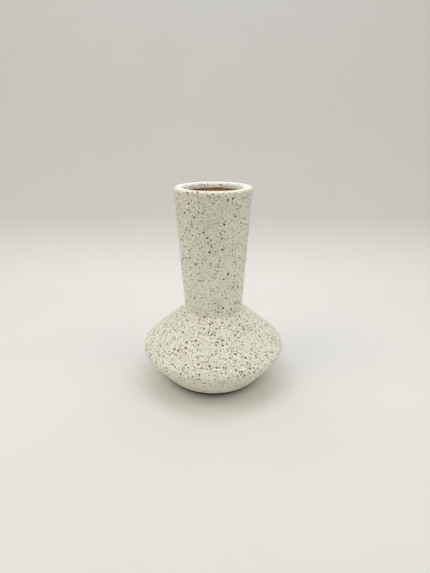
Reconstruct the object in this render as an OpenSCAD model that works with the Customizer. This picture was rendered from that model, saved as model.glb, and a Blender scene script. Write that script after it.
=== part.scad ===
// A bud vase: a saucer-shaped body under a tall neck that widens to a thick, rounded lip.
// Five sections of tan clay are joined with slip, covered by a speckled coat and lined inside.
// Millimetres, +Z up. The origin is the centre of the circle that the foot ring rests on.

/* [Neck] */
// Height of the lip above the surface that the vase stands on
height = 160; // [140:1:200]
// Outside diameter of the neck at the lip
mouth_d = 59.3; // [50:0.1:80]
// Outside diameter of the neck at its foot, where it meets the shoulder
neck_foot_d = 47.2; // [40:0.1:54]
// Height of the crease between the neck and the shoulder
crease_z = 62; // [50:0.5:80]
// Radius of the hollow rounding in the crease
crease_round = 1.4; // [0.4:0.1:4]
// Rounding of the lip's outer edge
lip_outer_round = 1.8; // [0.8:0.1:3]
// Rounding of the lip's inner edge
lip_inner_round = 2.2; // [0.8:0.1:3]

/* [Body] */
// Diameter at the waist, to the sharp corner that the rounding takes off
waist_d = 121.2; // [115:0.1:140]
// Height of the waist
waist_z = 29.9; // [24:0.1:34]
// Rounding of the waist, which makes the ridge round the body
waist_round = 5; // [1:0.1:8]
// How far the shoulder swells out from a straight cone
shoulder_swell = 0.45; // [0.1:0.05:3]
// How far the bowl's wall swells out from a straight cone
bowl_swell = 0.7; // [0.1:0.05:3]

/* [Foot] */
// Diameter at the foot, to the sharp corner that the rounding takes off
foot_d = 79.3; // [79:0.1:90]
// Rounding of the bowl's bottom edge
foot_round = 3.3; // [1:0.1:3.6]
// Outside diameter of the foot ring
ring_outer_d = 76; // [68:0.5:76]
// Inside diameter of the foot ring, and the diameter of the floor
ring_inner_d = 64; // [50:0.5:64]
// Gap between the coat's bottom edge and the surface that the vase stands on
foot_gap = 2.3; // [0.5:0.1:3]
// Depth of the hollow under the floor
recess = 4; // [3:0.1:5]

/* [Thicknesses] */
// Thickness of the clay wall
wall = 5.8; // [4:0.1:7]
// Thickness of the floor
floor_t = 6; // [4:0.1:9]
// Thickness of the speckled coat
coat = 0.5; // [0.2:0.05:0.7]
// Thickness of the inner glaze
glaze = 0.3; // [0.15:0.05:0.6]
// Thickness of the slip between two sections
slip = 0.8; // [0.4:0.1:1.5]
// How far the coat runs down inside the mouth
turn_in = 4.5; // [3.5:0.1:15]
// Bare clay inside the mouth, between the coat and the inner glaze
bare_band = 1.5; // [0.5:0.1:5]
// Rounding inside the waist, where the slip is smoothed into the corner
bead_round = 8; // [3:0.5:14]
// Rounding inside the bowl, between the wall and the floor
floor_round = 8; // [2:0.5:12]

/* [Hidden] */
$fn = 120;
wall_steps = 12;    // straight stretches in each swelling wall
round_steps = 8;    // straight stretches in each rounding
ring_round = 0.7;   // rounding of the foot ring's bottom edges
slice_r = waist_d;  // reaches past the body everywhere
clay_colour = [0.66, 0.51, 0.36];
slip_colour = [0.58, 0.44, 0.30];
foot_colour = [0.17, 0.13, 0.09];
coat_colour = [0.88, 0.86, 0.80];
glaze_colour = [0.68, 0.53, 0.37];

function unit(v) = v / norm(v);
function heading(v) = atan2(v.y, v.x);
// The vector turned a quarter turn clockwise: the outside, where an outline runs upwards
function outward(v) = [v.y, -v.x];
function backwards(list) = [for (i = [len(list) - 1 : -1 : 0]) list[i]];

// Radius and centre of the arc that swells out from the straight line between two points
function swell_radius(a, b, swell) = (pow(norm(b - a) / 2, 2) + swell * swell) / (2 * swell);
function swell_centre(a, b, swell) =
    (a + b) / 2 + outward(unit(b - a)) * (swell - swell_radius(a, b, swell));
// Where two circles cross, on the outward side of the way from the first centre to the second
function crossing(a, a_radius, b, b_radius) =
    let (apart = norm(b - a),
         along = (apart * apart + a_radius * a_radius - b_radius * b_radius) / (2 * apart))
    a + along * unit(b - a) + sqrt(a_radius * a_radius - along * along) * outward(unit(b - a));
// Points along an arc after its first, which is where the outline already is
function arc(centre, radius, from, to, steps) =
    [for (i = [1 : steps])
        let (angle = from + (to - from) * i / steps) centre + radius * [cos(angle), sin(angle)]];

// The outer surface's sharp corners, as [radius, height]
foot_corner = [foot_d / 2, foot_gap];
waist_corner = [waist_d / 2, waist_z];
crease_corner = [neck_foot_d / 2, crease_z];
lip_corner = [mouth_d / 2, height];
// The two swelling walls are arcs
bowl_radius = swell_radius(foot_corner, waist_corner, bowl_swell);
bowl_centre = swell_centre(foot_corner, waist_corner, bowl_swell);
shoulder_radius = swell_radius(waist_corner, crease_corner, shoulder_swell);
shoulder_centre = swell_centre(waist_corner, crease_corner, shoulder_swell);
// The neck is straight
neck_up = unit(lip_corner - crease_corner);
neck_out = outward(neck_up);
// A point at a height, on the line that lies a depth inside the neck's outer surface
function neck_point(depth, z) =
    let (start = crease_corner - depth * neck_out)
    start + neck_up * (z - start.y) / neck_up.y;

// Depths of the clay's inner surface, and of the coat's face inside the mouth
inside = coat + wall;
coated_inside = inside + coat;
floor_bottom = recess;
floor_top = recess + floor_t;
clay_bottom = foot_gap + coat;

// Centre of the rounding between a level line and the bowl's arc at a depth
function level_centre(z, depth, radius) =
    [bowl_centre.x + sqrt(pow(bowl_radius - depth - radius, 2) - pow(z + radius - bowl_centre.y, 2)),
     z + radius];
foot_centre = level_centre(foot_gap, 0, foot_round);
floor_centre = level_centre(floor_top, inside, floor_round);
// Centre of the rounding in the corner between the bowl's and the shoulder's arcs at a depth
function waist_centre_at(depth, radius) =
    crossing(shoulder_centre, shoulder_radius - depth - radius,
             bowl_centre, bowl_radius - depth - radius);
waist_centre = waist_centre_at(0, waist_round);
bead_centre = waist_centre_at(inside, bead_round);
inner_waist = waist_centre_at(inside, 0);
waist_joint_z = inner_waist.y;
// The crease's rounding touches the shoulder's arc and the neck's line from outside
crease_start = crease_corner + crease_round * neck_out;
crease_lead = (crease_start - shoulder_centre) * neck_up;
crease_centre = crease_start + neck_up * (sqrt(crease_lead * crease_lead
    + pow(shoulder_radius + crease_round, 2) - pow(norm(crease_start - shoulder_centre), 2))
    - crease_lead);
crease_low = heading(shoulder_centre - crease_centre) + 360;
crease_high = heading(-neck_out);
lip_outer_centre = neck_point(lip_outer_round, height - lip_outer_round);
lip_inner_centre = neck_point(coated_inside - lip_inner_round, height - lip_inner_round);

// The outside, from the bottom edge to the lip's inner rounding, at a depth below its surface
function outside_outline(depth) = concat(
    [foot_centre - [0, foot_round - depth]],
    arc(foot_centre, foot_round - depth, -90, heading(foot_centre - bowl_centre), round_steps),
    arc(bowl_centre, bowl_radius - depth, heading(foot_centre - bowl_centre),
        heading(waist_centre - bowl_centre), wall_steps),
    arc(waist_centre, waist_round - depth, heading(waist_centre - bowl_centre),
        heading(waist_centre - shoulder_centre), round_steps),
    arc(shoulder_centre, shoulder_radius - depth, heading(waist_centre - shoulder_centre),
        heading(crease_centre - shoulder_centre), wall_steps),
    arc(crease_centre, crease_round + depth, crease_low, crease_high, round_steps),
    [lip_outer_centre + (lip_outer_round - depth) * neck_out],
    arc(lip_outer_centre, lip_outer_round - depth, heading(neck_out), 90, round_steps),
    [lip_inner_centre + [0, lip_inner_round - depth]],
    arc(lip_inner_centre, lip_inner_round - depth, 90, crease_high, round_steps));

// The inside, from the neck down to the bead, at a height above the clay's inner surface
function upper_inside(rise) = concat(
    [crease_centre + (crease_round + inside + rise) * [cos(crease_high), sin(crease_high)]],
    arc(crease_centre, crease_round + inside + rise, crease_high, crease_low, round_steps),
    arc(shoulder_centre, shoulder_radius - inside - rise,
        heading(crease_centre - shoulder_centre), heading(bead_centre - shoulder_centre), wall_steps));
// The inside, from the bead down to the floor's flat middle
function lower_inside(rise) = concat(
    arc(bowl_centre, bowl_radius - inside - rise, heading(bead_centre - bowl_centre),
        heading(floor_centre - bowl_centre), wall_steps),
    arc(floor_centre, floor_round - rise, heading(floor_centre - bowl_centre), -90, round_steps));
function bead(rise) = arc(bead_centre, bead_round - rise, heading(bead_centre - shoulder_centre),
    heading(bead_centre - bowl_centre), round_steps);
// Where the bead touches the shoulder's wall and the bowl's
bead_start = bead_centre + bead_round * unit(bead_centre - shoulder_centre);
bead_end = bead_centre + bead_round * unit(bead_centre - bowl_centre);

// The clay wall without the floor and the foot ring: one shape that seams cut into sections
module clay_wall() {
    rotate_extrude()
        polygon(concat([[ring_inner_d / 2, clay_bottom]],
                       outside_outline(coat),
                       upper_inside(0),
                       [inner_waist, bead_end],
                       lower_inside(0),
                       [[ring_inner_d / 2, floor_top]]));
}

module slice(low, high) {
    intersection() {
        clay_wall();
        translate([0, 0, low]) cylinder(r = slice_r, h = high - low);
    }
}

module neck() {
    color(clay_colour) slice(crease_z + slip / 2, height);
}

// Slip between the shoulder and the neck
module neck_seam() {
    color(slip_colour) slice(crease_z - slip / 2, crease_z + slip / 2);
}

module shoulder() {
    color(clay_colour) slice(waist_joint_z + slip / 2, crease_z - slip / 2);
}

// Slip between the bowl and the shoulder, smoothed into the corner inside
module waist_seam() {
    color(slip_colour) {
        slice(waist_joint_z - slip / 2, waist_joint_z + slip / 2);
        rotate_extrude()
            polygon(concat([inner_waist, bead_start], bead(0)));
    }
}

module bowl() {
    color(clay_colour) slice(clay_bottom, waist_joint_z - slip / 2);
}

module floor() {
    color(clay_colour) translate([0, 0, floor_bottom]) cylinder(d = ring_inner_d, h = floor_t);
}

// The ring that the vase stands on: it has no coat, and its clay is sealed dark
module foot_ring() {
    inner = ring_inner_d / 2;
    outer = ring_outer_d / 2;
    color(foot_colour)
        rotate_extrude()
            polygon(concat([[inner, clay_bottom], [inner, ring_round]],
                           arc([inner + ring_round, ring_round], ring_round, 180, 270, round_steps),
                           [[outer - ring_round, 0]],
                           arc([outer - ring_round, ring_round], ring_round, 270, 360, round_steps),
                           [[outer, clay_bottom]]));
}

// The coat covers the outside, turns over the lip and stops inside the mouth
module speckled_coat() {
    edge_z = height - turn_in;
    color(coat_colour)
        rotate_extrude()
            polygon(concat(outside_outline(0),
                           [neck_point(coated_inside, edge_z), neck_point(inside, edge_z)],
                           backwards(outside_outline(coat))));
}

// A thin glaze that seals the clay, from just below the coat's edge down across the floor
module inner_glaze() {
    top_z = height - turn_in - bare_band;
    color(glaze_colour)
        rotate_extrude()
            polygon(concat([neck_point(inside, top_z)],
                           upper_inside(0), bead(0), lower_inside(0),
                           [[0, floor_top], [0, floor_top + glaze]],
                           backwards(concat([neck_point(inside + glaze, top_z)],
                                            upper_inside(glaze), bead(glaze), lower_inside(glaze)))));
}

neck();
neck_seam();
shoulder();
waist_seam();
bowl();
floor();
foot_ring();
speckled_coat();
inner_glaze();
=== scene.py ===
"""Bud vase: detailed skins, procedural finishes and a pale studio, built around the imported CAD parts."""
import math

import bpy
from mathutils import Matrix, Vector, noise

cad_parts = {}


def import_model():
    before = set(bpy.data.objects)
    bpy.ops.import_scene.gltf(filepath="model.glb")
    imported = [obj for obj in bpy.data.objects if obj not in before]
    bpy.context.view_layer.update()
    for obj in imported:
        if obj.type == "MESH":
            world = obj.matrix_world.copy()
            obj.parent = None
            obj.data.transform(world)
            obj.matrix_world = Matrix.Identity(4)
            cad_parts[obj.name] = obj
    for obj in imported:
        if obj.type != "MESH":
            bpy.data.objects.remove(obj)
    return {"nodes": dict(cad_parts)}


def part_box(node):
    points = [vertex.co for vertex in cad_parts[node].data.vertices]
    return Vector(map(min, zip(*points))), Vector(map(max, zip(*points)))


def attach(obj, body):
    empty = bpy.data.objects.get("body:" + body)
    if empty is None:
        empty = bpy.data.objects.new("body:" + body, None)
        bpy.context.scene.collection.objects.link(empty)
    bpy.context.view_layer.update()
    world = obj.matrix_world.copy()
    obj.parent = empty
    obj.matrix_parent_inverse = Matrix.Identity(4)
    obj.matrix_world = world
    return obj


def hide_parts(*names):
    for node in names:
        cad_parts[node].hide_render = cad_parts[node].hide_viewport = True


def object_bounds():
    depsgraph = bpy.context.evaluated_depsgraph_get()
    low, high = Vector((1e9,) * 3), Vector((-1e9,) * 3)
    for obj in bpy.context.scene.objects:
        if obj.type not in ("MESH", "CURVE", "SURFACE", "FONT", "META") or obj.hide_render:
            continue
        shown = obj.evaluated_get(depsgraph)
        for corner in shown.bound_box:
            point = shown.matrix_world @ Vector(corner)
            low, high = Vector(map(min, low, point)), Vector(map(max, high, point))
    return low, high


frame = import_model()
CAD_BOX = [list(corner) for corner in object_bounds()]
MM = 0.001
HEIGHT = CAD_BOX[1][2]
MOUTH_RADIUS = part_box("neck")[1][0]
COAT_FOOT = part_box("speckled_coat")[0][2]

# ---------------------------------------------------------------- outlines of the CAD nodes

MERGE = 0.015 * MM          # points of one ring agree at least this closely
CORNER = math.radians(50)   # a sharper turn than this ends a stretch of an outline
SPARE_STEP = 0.05           # a stretch this much over a whole number of steps isn't divided again


def outline(node):
    """A turned CAD node's outline, read from the rings of its mesh: its (radius, height) points in order,
    and whether it closes on itself."""
    mesh = frame["nodes"][node].data
    rings, ring_of = [], []
    for vertex in mesh.vertices:
        here = (math.hypot(vertex.co.x, vertex.co.y), vertex.co.z)
        for index, ring in enumerate(rings):
            if abs(ring[0] - here[0]) < MERGE and abs(ring[1] - here[1]) < MERGE:
                break
        else:
            index = len(rings)
            rings.append(here)
        ring_of.append(index)
    beside = [set() for _ in rings]
    for edge in mesh.edges:
        a, b = (ring_of[v] for v in edge.vertices)
        if a != b:
            beside[a].add(b)
            beside[b].add(a)
    ends = [i for i, near in enumerate(beside) if len(near) == 1]
    order = [ends[0] if ends else 0]
    while True:
        onward = [i for i in sorted(beside[order[-1]]) if i not in order]
        if not onward:
            return [Vector(rings[i]) for i in order], not ends
        order.append(onward[0])


def stretches(node):
    """A node's outline, split at its sharp corners."""
    points, closed = outline(node)
    count = len(points)

    def turn(i):
        return (points[i] - points[i - 1]).angle(points[(i + 1) % count] - points[i])

    inner = range(count) if closed else range(1, count - 1)
    corners = [i for i in inner if turn(i) > CORNER]
    if closed:
        points = points[corners[0]:] + points[:corners[0] + 1]
        corners = [i - corners[0] for i in corners] + [count]
    else:
        corners = [0] + corners + [count - 1]
    return [points[a:b + 1] for a, b in zip(corners, corners[1:])]


def length(points):
    return sum((b - a).length for a, b in zip(points, points[1:]))


def upward(points):
    return points if points[0].y <= points[-1].y else points[::-1]


def downward(points):
    return points if points[0].y >= points[-1].y else points[::-1]


def divided(points, step):
    """The same outline with no stretch between points longer than step."""
    fine = [points[0]]
    for a, b in zip(points, points[1:]):
        parts = max(1, math.ceil((b - a).length / step - SPARE_STEP))
        fine += [a.lerp(b, i / parts) for i in range(1, parts + 1)]
    return fine


def eased(points, passes):
    """The outline with its slight kinks taken out, and its ends where they were."""
    for _ in range(passes):
        middle = [(a + 2 * b + c) / 4 for a, b, c in zip(points, points[1:], points[2:])]
        points = [points[0]] + middle + [points[-1]]
    return points


# ---------------------------------------------------------------- turned skins

ON_AXIS = 0.001 * MM     # a row nearer the axis than this is a single point
ROUND_THE_RIM = 20 * MM  # radius of the circle on which an edge's wander is read
EDGE_REACH = 3 * MM      # how far from an edge its wander fades out
EASING_PASSES = 2


def wave(point, size, seed):
    """Smooth noise from -1 to 1 whose bumps are about size across."""
    return noise.noise(point / size + Vector((seed, -seed, 2.3 * seed)))


def round_the_rim(angle):
    return Vector((math.cos(angle), math.sin(angle), 0)) * ROUND_THE_RIM


def nearness(spot, edge, reach):
    """1 at an edge, and 0 from reach away."""
    place = Vector((math.hypot(spot.x, spot.y), spot.z))
    return max(0.0, 1 - (place - edge).length / reach)


def turned(name, rows, closed, segments, shape):
    """A mesh turned from rows of (point, outward direction, along direction) in the half-plane.
    shape(spot, angle, row) gives how far a vertex moves outward and along."""
    verts, faces, row_start = [], [], []
    for row, (place, out, along) in enumerate(rows):
        row_start.append(len(verts))
        if place.x < ON_AXIS:
            verts.append((0, 0, place.y))
            continue
        for segment in range(segments):
            angle = math.tau * segment / segments
            spot = Vector((place.x * math.cos(angle), place.x * math.sin(angle), place.y))
            proud, slip = shape(spot, angle, row)
            moved = place + out * proud + along * slip
            verts.append((moved.x * math.cos(angle), moved.x * math.sin(angle), moved.y))
    pairs = list(zip(range(len(rows)), range(1, len(rows))))
    if closed:
        pairs.append((len(rows) - 1, 0))
    for a, b in pairs:
        pole_a, pole_b = rows[a][0].x < ON_AXIS, rows[b][0].x < ON_AXIS
        for segment in range(segments):
            nxt = (segment + 1) % segments
            a0, a1 = row_start[a] + segment, row_start[a] + nxt
            b0, b1 = row_start[b] + segment, row_start[b] + nxt
            if pole_a:
                faces.append((row_start[a], b1, b0))
            elif pole_b:
                faces.append((a0, a1, row_start[b]))
            else:
                faces.append((a0, a1, b1, b0))
    mesh = bpy.data.meshes.new(name)
    mesh.from_pydata(verts, [], faces)
    mesh.validate()
    mesh.polygons.foreach_set("use_smooth", [True] * len(mesh.polygons))
    piece = bpy.data.objects.new(name, mesh)
    bpy.context.scene.collection.objects.link(piece)
    return piece


def with_directions(points):
    """Each point with the direction out of the solid, on the right of the way along, and the way along."""
    rows = []
    for i, point in enumerate(points):
        along = (points[min(i + 1, len(points) - 1)] - points[max(i - 1, 0)]).normalized()
        rows.append((point, Vector((along.y, -along.x)), along))
    return rows


COAT_SEGMENTS = 352
COAT_ROW_STEP = 1.02 * MM
FOOT_EDGE_REACH = 1.2 * MM
FOOT_EDGE_SHARE = 0.5                                       # its wander against the mouth edge's
COAT_EDGE_WAVES = ((0.35, 9, 3.1), (0.2, 2.5, 7.7))         # depth and size in mm, and seed
COAT_WAVES = ((0.10, 38, 1.7), (0.05, 11, 4.4), (0.025, 3.2, 8.9))

GLAZE_SEGMENTS = 192
GLAZE_ROW_STEP = 1.4 * MM
GLAZE_EDGE_WAVE = (0.3, 6, 5.2)
GLAZE_WAVE = (0.04, 6, 2.2)
THROWING_RING_APART = 4.6 * MM
THROWING_RING_DEPTH = 0.10 * MM


def waves(point, sizes):
    """The sum of several waves, each given as depth and size in mm, and seed."""
    total = 0.0
    for depth, size, seed in sizes:
        total += depth * MM * wave(point, size * MM, seed)
    return total


def speckled_coat():
    """The coat: slightly uneven all over, with a wandering edge inside the mouth and under the foot."""
    parts = sorted(stretches("speckled_coat"), key=length)
    back, face = downward(parts[-2]), upward(parts[-1])
    face = eased(divided(face, COAT_ROW_STEP), EASING_PASSES)
    mouth_edge, foot_edge = face[-1], face[0]
    count = len(face)

    def shape(spot, angle, row):
        wander = waves(round_the_rim(angle), COAT_EDGE_WAVES)
        slip = nearness(spot, mouth_edge, EDGE_REACH) * wander
        slip -= nearness(spot, foot_edge, FOOT_EDGE_REACH) * FOOT_EDGE_SHARE * wander
        if row >= count:
            return 0.0, -slip
        return waves(spot, COAT_WAVES), slip

    rows = with_directions(face) + with_directions(back)
    return turned("speckled_coat_skin", rows, True, COAT_SEGMENTS, shape)


def inner_glaze():
    """The glazed inside, with the throwing rings that fingers leave in the clay."""
    parts = sorted(stretches("inner_glaze"), key=length)[-2:]
    face, back = sorted(parts, key=lambda points: sum(p.x for p in points) / len(points))
    face, back = downward(face), upward(back)
    face = face + [Vector((0, face[-1].y))]
    back = [Vector((0, back[0].y))] + back
    face = eased(divided(face, GLAZE_ROW_STEP), EASING_PASSES)
    top = face[0]
    count = len(back)

    def shape(spot, angle, row):
        top_near = nearness(spot, top, EDGE_REACH)
        slip = top_near * waves(round_the_rim(angle), (GLAZE_EDGE_WAVE,))
        if row < count:
            return 0.0, -slip
        spiral = math.sin(math.tau * (spot.z / THROWING_RING_APART) + angle)
        return THROWING_RING_DEPTH * spiral * (1 - top_near) + waves(spot, (GLAZE_WAVE,)), slip

    rows = with_directions(back) + with_directions(face)
    return turned("inner_glaze_skin", rows, False, GLAZE_SEGMENTS, shape)


# ---------------------------------------------------------------- materials

SPECK_WOBBLE = 0.25       # how far a speck's outline is stirred, as a share of the greatest radius
SPECK_WOBBLE_SIZE = 0.9   # the size of that stirring, as a share of the greatest radius
SPECK_SOFTNESS = 0.12     # the share of a speck's radius over which it fades
NOISE_SPAN = (0.3, 0.7)   # noise seldom leaves this range


class Nodes:
    """Short forms for building a node tree."""

    def __init__(self, name):
        self.material = bpy.data.materials.new(name)
        self.material.use_nodes = True
        self.tree = self.material.node_tree
        self.shader = self.tree.nodes["Principled BSDF"]
        self.place = self.add("ShaderNodeTexCoord").outputs["Object"]

    def add(self, kind, **settings):
        node = self.tree.nodes.new(kind)
        for key, value in settings.items():
            setattr(node, key, value)
        return node

    def put(self, value, socket):
        """Links an output to a socket, or sets a plain value on it."""
        if isinstance(value, bpy.types.NodeSocket):
            self.tree.links.new(value, socket)
        else:
            socket.default_value = value

    def maths(self, operation, a, b=0.0, c=0.0):
        node = self.add("ShaderNodeMath", operation=operation)
        for value, socket in zip((a, b, c), node.inputs):
            self.put(value, socket)
        return node.outputs[0]

    def split(self, vector):
        """The X, Y and Z of a vector."""
        node = self.add("ShaderNodeSeparateXYZ")
        self.put(vector, node.inputs[0])
        return node.outputs

    def noise(self, size, detail=2.0, rough=0.5):
        node = self.add("ShaderNodeTexNoise")
        self.put(self.place, node.inputs["Vector"])
        self.put(1 / size, node.inputs["Scale"])
        self.put(detail, node.inputs["Detail"])
        self.put(rough, node.inputs["Roughness"])
        return node.outputs["Fac"]

    def ramp(self, value, low, high, to_low=0.0, to_high=1.0, smooth=True):
        node = self.add("ShaderNodeMapRange")
        node.interpolation_type = "SMOOTHSTEP" if smooth else "LINEAR"
        for item, socket in zip((value, low, high, to_low, to_high), node.inputs):
            self.put(item, socket)
        return node.outputs["Result"]

    def uneven(self, size, least=0.0, greatest=1.0, detail=2.0, rough=0.5):
        """A number that wanders between least and greatest, in patches about size across."""
        return self.ramp(self.noise(size, detail, rough), *NOISE_SPAN, least, greatest)

    def mix(self, share, a, b, blend="MIX"):
        node = self.add("ShaderNodeMix", data_type="RGBA", blend_type=blend)
        self.put(share, node.inputs["Factor"])
        self.put(a, node.inputs["A"])
        self.put(b, node.inputs["B"])
        return node.outputs["Result"]

    def bump(self, height, distance, strength):
        node = self.add("ShaderNodeBump")
        self.put(height, node.inputs["Height"])
        self.put(distance, node.inputs["Distance"])
        self.put(strength, node.inputs["Strength"])
        return node.outputs["Normal"]

    def finish(self, base, roughness, relief):
        """Puts a colour, a roughness and a bump, as (height, distance, strength), on the shader."""
        self.put(base, self.shader.inputs["Base Color"])
        self.put(roughness, self.shader.inputs["Roughness"])
        self.put(self.bump(*relief), self.shader.inputs["Normal"])
        return self.material

    def from_axis(self):
        """How far a point is from the vase's axis."""
        flat = self.add("ShaderNodeVectorMath", operation="MULTIPLY")
        self.put(self.place, flat.inputs[0])
        self.put((1, 1, 0), flat.inputs[1])
        size = self.add("ShaderNodeVectorMath", operation="LENGTH")
        self.put(flat.outputs[0], size.inputs[0])
        return size.outputs["Value"]

    def shifted(self, offset, wobble, size):
        """The place moved by an offset, and stirred by noise so that round spots come out uneven."""
        moved = self.add("ShaderNodeVectorMath", operation="ADD")
        self.put(self.place, moved.inputs[0])
        self.put(offset, moved.inputs[1])
        stir = self.add("ShaderNodeTexNoise")
        self.put(self.place, stir.inputs["Vector"])
        self.put(1 / size, stir.inputs["Scale"])
        centred = self.add("ShaderNodeVectorMath", operation="SUBTRACT")
        self.put(stir.outputs["Color"], centred.inputs[0])
        self.put((0.5, 0.5, 0.5), centred.inputs[1])
        scaled = self.add("ShaderNodeVectorMath", operation="SCALE")
        self.put(centred.outputs[0], scaled.inputs[0])
        self.put(wobble, scaled.inputs["Scale"])
        total = self.add("ShaderNodeVectorMath", operation="ADD")
        self.put(moved.outputs[0], total.inputs[0])
        self.put(scaled.outputs[0], total.inputs[1])
        return total.outputs[0]

    def cells(self, place, size):
        """A random lattice: how far a point is from its cell's centre, and three random numbers for it."""
        cells = self.add("ShaderNodeTexVoronoi", feature="F1")
        self.put(place, cells.inputs["Vector"])
        self.put(1 / size, cells.inputs["Scale"])
        numbers = self.add("ShaderNodeSeparateColor")
        self.put(cells.outputs["Color"], numbers.inputs[0])
        return cells.outputs["Distance"], numbers.outputs

    def specks(self, apart, radius, share, offset):
        """Scattered spots: one in some cells of a random lattice. Returns where they are, and a random
        number for each spot. apart and radius are in metres, and radius is (least, greatest)."""
        stirred = self.shifted(offset, SPECK_WOBBLE * radius[1], SPECK_WOBBLE_SIZE * radius[1])
        distance, (size, chosen, tint) = self.cells(stirred, apart)
        edge = self.ramp(size, 0.0, 1.0, radius[0] / apart, radius[1] / apart, smooth=False)
        inner = self.maths("MULTIPLY", edge, 1 - SPECK_SOFTNESS)
        inside = self.ramp(distance, inner, edge, 1.0, 0.0)
        kept = self.maths("LESS_THAN", chosen, share)
        return self.maths("MULTIPLY", inside, kept), tint


def shade(red, green, blue):
    """A colour given as 0 to 255 screen values, as the linear values that a shader takes."""
    def linear(value):
        part = value / 255
        return part / 12.92 if part <= 0.04045 else ((part + 0.055) / 1.055) ** 2.4
    return linear(red), linear(green), linear(blue), 1.0


# the coat's colours and surface
COAT = (shade(229, 225, 207), shade(235, 232, 215))
# paler and yellower low down: partly a yellowish tint of the coat, partly painted light lifting the shaded
# lower body
COAT_LOW_DOWN_TINT_AND_PAINTED_LIGHT = shade(240, 234, 205)
# painted shade: the coat darkens towards the top of the neck
PAINTED_SHADE_UP_THE_NECK = shade(178, 171, 150)
# painted light: the coat whitened inside the mouth, whose wall is in shade
PAINTED_LIGHT_IN_THE_MOUTH = shade(253, 252, 244)
LIP_PAINTED_HIGHLIGHT_AND_WARM_LIGHT = (shade(238, 237, 229), shade(235, 226, 203))   # its inner part, whitened as a painted highlight, and its outer edge, warmed as painted light
# painted contact shadow along the coat's bottom edge
PAINTED_CONTACT_SHADOW = shade(36, 28, 20)
COAT_CLOUD = 14 * MM
COAT_CLOUD_SPAN = (0.35, 0.65)
COAT_ROUGHNESS = (0.72, 0.86)
COAT_ROUGHNESS_PATCH = 5 * MM
COAT_SPECULAR = 0.35
COAT_PORES = 0.80 * MM
COAT_RELIEF = (0.14 * MM, 0.7)                                   # distance and strength

# where the coat changes: heights, or distances from the axis, with the shares at their two ends
SLOPE = (0.0, 0.7)                                               # how far the surface faces up
SPECKS_BY_SLOPE = (0.80, 1.35)
ABOVE_THE_FOOT = (4 * MM, 26 * MM)
SPECKS_ABOVE_THE_FOOT = (0.5, 1.0)
OVER_THE_LIP = (HEIGHT - 2.2 * MM, HEIGHT - 0.6 * MM)
SPECKS_OVER_THE_LIP = (1.0, 0.3)
LOW_DOWN = (2 * MM, 26 * MM)
LOW_DOWN_TINT_AND_LIGHT_SHARE = (0.5, 0.0)
UP_THE_NECK = (90 * MM, 154 * MM)
NECK_PAINTED_SHADE_SHARE = (0.0, 0.25)
MOUTH_WALL = (MOUTH_RADIUS - 5.4 * MM, MOUTH_RADIUS - 4.0 * MM)
MOUTH_PAINTED_LIGHT_SHARE = (0.8, 0.0)
MOUTH_DEPTH = (HEIGHT - 10 * MM, HEIGHT - 9 * MM)
LIP_TOP = (HEIGHT - 1.8 * MM, HEIGHT - 0.3 * MM)
LIP_OUTWARD = (MOUTH_RADIUS - 3.4 * MM, MOUTH_RADIUS - 1.0 * MM)
FOOT_EDGE = (COAT_FOOT + 1.5 * MM, COAT_FOOT + 2.1 * MM)
FOOT_EDGE_PATCH = 4 * MM
FOOT_EDGE_RAGGED = 0.6 * MM

# the grains that the coat is made of, from the palest to the greyest
GRAIN = 0.78 * MM
GRAIN_PALE = shade(255, 255, 252)
GRAIN_PALE_SPAN = (0.55, 1.0)
GRAIN_PALE_SHARE = (0.0, 0.55)
GRAIN_GREY = shade(168, 162, 146)
GRAIN_GREY_SPAN = (0.45, 0.0)
GRAIN_GREY_SHARE = (0.0, 0.36)

SPECK_RELIEF = 0.25
SPECK_LAYERS = (
    # apart, least and greatest radius, share of the cells, offset, darkest and palest colour
    (1.10 * MM, (0.20 * MM, 0.42 * MM), 0.62, (0.0, 0.0, 0.0), shade(66, 60, 50), shade(128, 116, 96)),
    (1.90 * MM, (0.36 * MM, 0.60 * MM), 0.44, (0.3, 0.1, 0.7), shade(14, 12, 10), shade(50, 43, 34)),
    (3.40 * MM, (0.58 * MM, 0.92 * MM), 0.50, (0.9, 0.5, 0.2), shade(5, 4, 4), shade(20, 17, 14)),
)


def speck_plenty(n, height):
    """How plentiful the specks are: they settle on the shoulder, and thin out towards the foot and over
    the lip."""
    facing_up = n.split(n.add("ShaderNodeNewGeometry").outputs["Normal"])["Z"]
    settled = n.ramp(facing_up, *SLOPE, *SPECKS_BY_SLOPE)
    on_body = n.maths("MULTIPLY", settled, n.ramp(height, *ABOVE_THE_FOOT, *SPECKS_ABOVE_THE_FOOT))
    return n.maths("MULTIPLY", on_body, n.ramp(height, *OVER_THE_LIP, *SPECKS_OVER_THE_LIP))


def coat_colour(n, height):
    """The coat's colour under its specks: clouded, and paler and yellower low down, partly a yellowish
    tint and partly painted light on the shaded lower body. Painted shade darkens it towards the top of the
    neck. Painted light whitens it inside the mouth, whitens the lip's top as a painted highlight, and
    warms the lip's outer edge."""
    base = n.mix(n.ramp(n.noise(COAT_CLOUD, 3.0), *COAT_CLOUD_SPAN), *COAT)
    base = n.mix(n.ramp(height, *LOW_DOWN, *LOW_DOWN_TINT_AND_LIGHT_SHARE), base, COAT_LOW_DOWN_TINT_AND_PAINTED_LIGHT)
    base = n.mix(n.ramp(height, *UP_THE_NECK, *NECK_PAINTED_SHADE_SHARE), base, PAINTED_SHADE_UP_THE_NECK)
    from_axis = n.from_axis()
    inside = n.ramp(from_axis, *MOUTH_WALL, *MOUTH_PAINTED_LIGHT_SHARE)
    painted_light_in_mouth = n.maths("MULTIPLY", inside, n.ramp(height, *MOUTH_DEPTH))
    base = n.mix(painted_light_in_mouth, base, PAINTED_LIGHT_IN_THE_MOUTH)
    # painted light on the lip: a whiter top and a warmer outer edge
    lip = n.mix(n.ramp(from_axis, *LIP_OUTWARD), *LIP_PAINTED_HIGHLIGHT_AND_WARM_LIGHT)
    return n.mix(n.ramp(height, *LIP_TOP), base, lip)


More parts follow.
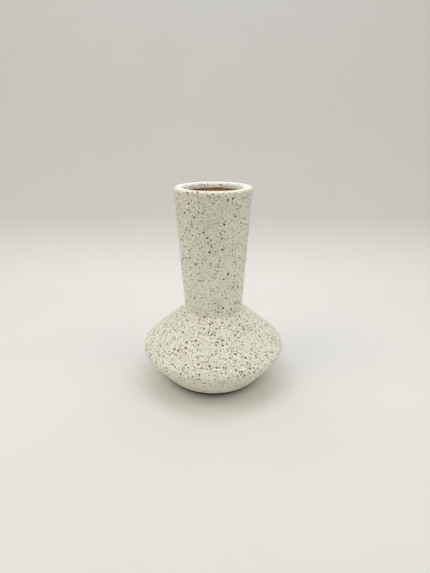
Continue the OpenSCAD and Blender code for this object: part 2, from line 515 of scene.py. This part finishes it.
def coat_finish():
    n = Nodes("speckled_coat_finish")
    height = n.split(n.place)["Z"]
    plenty = speck_plenty(n, height)
    base = coat_colour(n, height)
    grain = n.cells(n.place, GRAIN)[1][0]
    base = n.mix(n.ramp(grain, *GRAIN_PALE_SPAN, *GRAIN_PALE_SHARE, smooth=False), base, GRAIN_PALE)
    base = n.mix(n.ramp(grain, *GRAIN_GREY_SPAN, *GRAIN_GREY_SHARE, smooth=False), base, GRAIN_GREY)
    relief = n.noise(COAT_PORES, 2.0, 0.55)
    for apart, radius, share, offset, dark, pale in SPECK_LAYERS:
        spots, tint = n.specks(apart, radius, n.maths("MULTIPLY", plenty, share), offset)
        base = n.mix(spots, base, n.mix(tint, dark, pale))
        relief = n.maths("MULTIPLY_ADD", spots, SPECK_RELIEF, relief)
    # painted contact shadow: a dark, ragged band along the coat's bottom edge
    ragged = n.maths("MULTIPLY_ADD", n.noise(FOOT_EDGE_PATCH), FOOT_EDGE_RAGGED, height)
    base = n.mix(n.ramp(ragged, *FOOT_EDGE, 1.0, 0.0), base, PAINTED_CONTACT_SHADOW)
    n.shader.inputs["Specular IOR Level"].default_value = COAT_SPECULAR
    return n.finish(base, n.uneven(COAT_ROUGHNESS_PATCH, *COAT_ROUGHNESS), (relief, *COAT_RELIEF))


GROG_APART = 1.3 * MM
GROG_RADIUS = (0.12 * MM, 0.32 * MM)
GROG_SHARE = 0.6
GROG_OFFSET = (0.4, 0.2, 0.6)
GROG_STRENGTH = 0.5
GROG = (shade(60, 40, 28), shade(176, 142, 112))
CLAY_PATCH = 9 * MM
CLAY_ROUGHNESS_PATCH = 3 * MM
CLAY_GRIT = 0.6 * MM
CLAY_RELIEF = (0.1 * MM, 0.6)


def clay_finish(name, low, high, roughness, gloss=0.5):
    """Fired clay with darker and paler grains of grog in it."""
    n = Nodes(name)
    base = n.mix(n.uneven(CLAY_PATCH, detail=4.0, rough=0.6), low, high)
    grog, tint = n.specks(GROG_APART, GROG_RADIUS, GROG_SHARE, GROG_OFFSET)
    base = n.mix(n.maths("MULTIPLY", grog, GROG_STRENGTH), base, n.mix(tint, *GROG))
    n.shader.inputs["Specular IOR Level"].default_value = gloss
    relief = (n.noise(CLAY_GRIT, 3.0, 0.65), *CLAY_RELIEF)
    return n.finish(base, n.uneven(CLAY_ROUGHNESS_PATCH, *roughness), relief)


GLAZE = (shade(178, 140, 98), shade(190, 152, 110))
GLAZE_BANDS = 14 * MM
GLAZE_BAND_DISTORTION = 2.5
GLAZE_DARK = shade(136, 98, 62)
GLAZE_DARK_PATCH = 3 * MM
GLAZE_DARK_SPAN = (0.4, 0.75)
GLAZE_DARK_STRENGTH = 0.5
GLAZE_ROUGHNESS = (0.38, 0.55)
GLAZE_ROUGHNESS_PATCH = 6 * MM
GLAZE_RIPPLE = 1.2 * MM
GLAZE_RELIEF = (0.08 * MM, 0.5)


def glaze_finish():
    """A thin satin glaze over tan clay, banded by the throwing rings, with darker patches."""
    n = Nodes("inner_glaze_finish")
    rings = n.add("ShaderNodeTexWave", wave_type="BANDS", bands_direction="Z")
    n.put(n.place, rings.inputs["Vector"])
    n.put(1 / GLAZE_BANDS, rings.inputs["Scale"])
    n.put(GLAZE_BAND_DISTORTION, rings.inputs["Distortion"])
    base = n.mix(rings.outputs["Fac"], *GLAZE)
    patches = n.ramp(n.noise(GLAZE_DARK_PATCH, 4.0, 0.6), *GLAZE_DARK_SPAN)
    base = n.mix(n.maths("MULTIPLY", patches, GLAZE_DARK_STRENGTH), base, GLAZE_DARK)
    relief = (n.noise(GLAZE_RIPPLE, 3.0, 0.6), *GLAZE_RELIEF)
    return n.finish(base, n.uneven(GLAZE_ROUGHNESS_PATCH, *GLAZE_ROUGHNESS), relief)


PAPER = (shade(222, 221, 217), shade(225, 224, 221))
PAPER_CLOUD = 60 * MM
PAPER_ROUGHNESS = 0.9
PAPER_GRAIN = 1.5 * MM
PAPER_RELIEF = (0.03 * MM, 0.4)
WALL_FOOT = (0.0, 0.06)             # heights, with the share of the paper's brightness that painted shade leaves at their ends
COVE_PAINTED_SHADE = (1.0, 0.95)
# painted shade darkening the paper up the wall
WALL = (0.10, 0.34)
WALL_PAINTED_SHADE = (1.0, 0.81)


def paper_finish():
    """Matte paper, darkened by painted shade a little from the floor up into the cove, and more up the
    wall.
    """
    n = Nodes("sweep_finish")
    base = n.mix(n.noise(PAPER_CLOUD, 3.0), *PAPER)
    height = n.split(n.place)["Z"]
    low = n.ramp(height, *WALL_FOOT, *COVE_PAINTED_SHADE, smooth=False)
    high = n.ramp(height, *WALL, *WALL_PAINTED_SHADE, smooth=False)
    base = n.mix(1.0, base, n.maths("MULTIPLY", low, high), blend="MULTIPLY")
    return n.finish(base, PAPER_ROUGHNESS, (n.noise(PAPER_GRAIN), *PAPER_RELIEF))


def dress(piece, finish):
    piece.data.materials.clear()
    piece.data.materials.append(finish)


# ---------------------------------------------------------------- pieces

coat = speckled_coat()
dress(coat, coat_finish())
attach(coat, "root")
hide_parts("speckled_coat")

glaze = inner_glaze()
dress(glaze, glaze_finish())
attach(glaze, "root")
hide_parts("inner_glaze")

# each has its darkest and palest colour, and its least and greatest roughness
clay = clay_finish("clay_finish", shade(160, 122, 82), shade(176, 138, 98), (0.78, 0.92))
slip = clay_finish("slip_finish", shade(140, 104, 70), shade(156, 120, 84), (0.8, 0.95))
# the foot ring is made near-black as painted contact shadow under the coat's edge
foot_ring_painted_shadow_finish = clay_finish("foot_painted_shadow_finish", shade(24, 18, 13), shade(36, 27, 20), (0.9, 1.0), gloss=0.1)
FINISH_OF = {
    "neck": clay,
    "shoulder": clay,
    "bowl": clay,
    "floor": clay,
    "neck_seam": slip,
    "waist_seam": slip,
    "foot_ring": foot_ring_painted_shadow_finish,
}
for node, finish in FINISH_OF.items():
    frame["nodes"][node].material_slots[0].material = finish

# ---------------------------------------------------------------- studio

CAMERA_BACK = 1.8544 * HEIGHT
CAMERA_UP = 1.2463 * HEIGHT
CAMERA_SIDE = 0.0082 * HEIGHT
CAMERA_DOWN = math.radians(22.03)
LENS_MM = 24.43
SENSOR_MM = 36.0
NEAREST_SEEN = 0.01

SWEEP_FRONT = -1.6
SWEEP_BACK = 0.18
SWEEP_RADIUS = 0.085
SWEEP_TOP = 1.5
SWEEP_HALF_WIDTH = 1.6
SWEEP_STEPS = 24

COOL = (0.84, 0.86, 1.00)
COOL_BACK = (0.83, 0.86, 1.00)
WARM_LEFT = (1.00, 0.93, 0.72)
WARM_RIGHT = (1.00, 0.95, 0.72)
LAMPS = (
    # name, width and depth, power, colour, place
    ("overhead", (0.9, 0.9), 1.20, COOL, (0, 0, 0.9)),
    ("over_back", (0.6, 0.3), 1.62, COOL_BACK, (0, 0.2, 0.6)),
    ("over_left", (0.5, 0.5), 2.19, WARM_LEFT, (-0.55, -0.2, 0.8)),
    ("over_right", (0.5, 0.5), 1.76, WARM_RIGHT, (0.55, -0.2, 0.8)),
)
WORLD_COLOUR = (1.0, 1.0, 1.0, 1.0)
WORLD_STRENGTH = 0.5


def camera():
    data = bpy.data.cameras.new("camera")
    data.lens = LENS_MM
    data.sensor_width = SENSOR_MM
    data.clip_start = NEAREST_SEEN
    seen_from = bpy.data.objects.new("camera", data)
    bpy.context.scene.collection.objects.link(seen_from)
    seen_from.location = (CAMERA_SIDE, -CAMERA_BACK, CAMERA_UP)
    seen_from.rotation_euler = (math.pi / 2 - CAMERA_DOWN, 0, 0)
    bpy.context.scene.camera = seen_from


def sweep():
    """A pale floor that curves up into a wall behind the vase."""
    line = [Vector((SWEEP_FRONT, 0)), Vector((SWEEP_BACK, 0))]
    for i in range(1, SWEEP_STEPS + 1):
        angle = math.pi / 2 * i / SWEEP_STEPS
        across, up = math.sin(angle), 1 - math.cos(angle)
        line.append(Vector((SWEEP_BACK + SWEEP_RADIUS * across, SWEEP_RADIUS * up)))
    line.append(Vector((SWEEP_BACK + SWEEP_RADIUS, SWEEP_TOP)))
    verts = [(x, p.x, p.y) for p in line for x in (-SWEEP_HALF_WIDTH, SWEEP_HALF_WIDTH)]
    faces = [(2 * i, 2 * i + 1, 2 * i + 3, 2 * i + 2) for i in range(len(line) - 1)]
    mesh = bpy.data.meshes.new("sweep")
    mesh.from_pydata(verts, [], faces)
    mesh.polygons.foreach_set("use_smooth", [True] * len(mesh.polygons))
    floor = bpy.data.objects.new("sweep", mesh)
    bpy.context.scene.collection.objects.link(floor)
    dress(floor, paper_finish())


def lamp(name, size, power, colour, place):
    """A soft lamp that points at the origin, where the vase stands, and isn't seen itself."""
    data = bpy.data.lights.new(name, "AREA")
    data.shape = "RECTANGLE"
    data.size, data.size_y = size
    data.energy = power
    data.color = colour
    light = bpy.data.objects.new(name, data)
    bpy.context.scene.collection.objects.link(light)
    light.location = place
    light.visible_camera = False
    light.rotation_euler = (-Vector(place)).to_track_quat("-Z", "Y").to_euler()


def world():
    scene = bpy.context.scene
    scene.world = bpy.data.worlds.new("world")
    scene.world.use_nodes = True
    background = scene.world.node_tree.nodes["Background"]
    background.inputs["Color"].default_value = WORLD_COLOUR
    background.inputs["Strength"].default_value = WORLD_STRENGTH


camera()
sweep()
for settings in LAMPS:
    lamp(*settings)
world()
view = bpy.context.scene.view_settings
view.view_transform = "Standard"
view.look = "None"
view.exposure = 0.0
view.gamma = 1.0
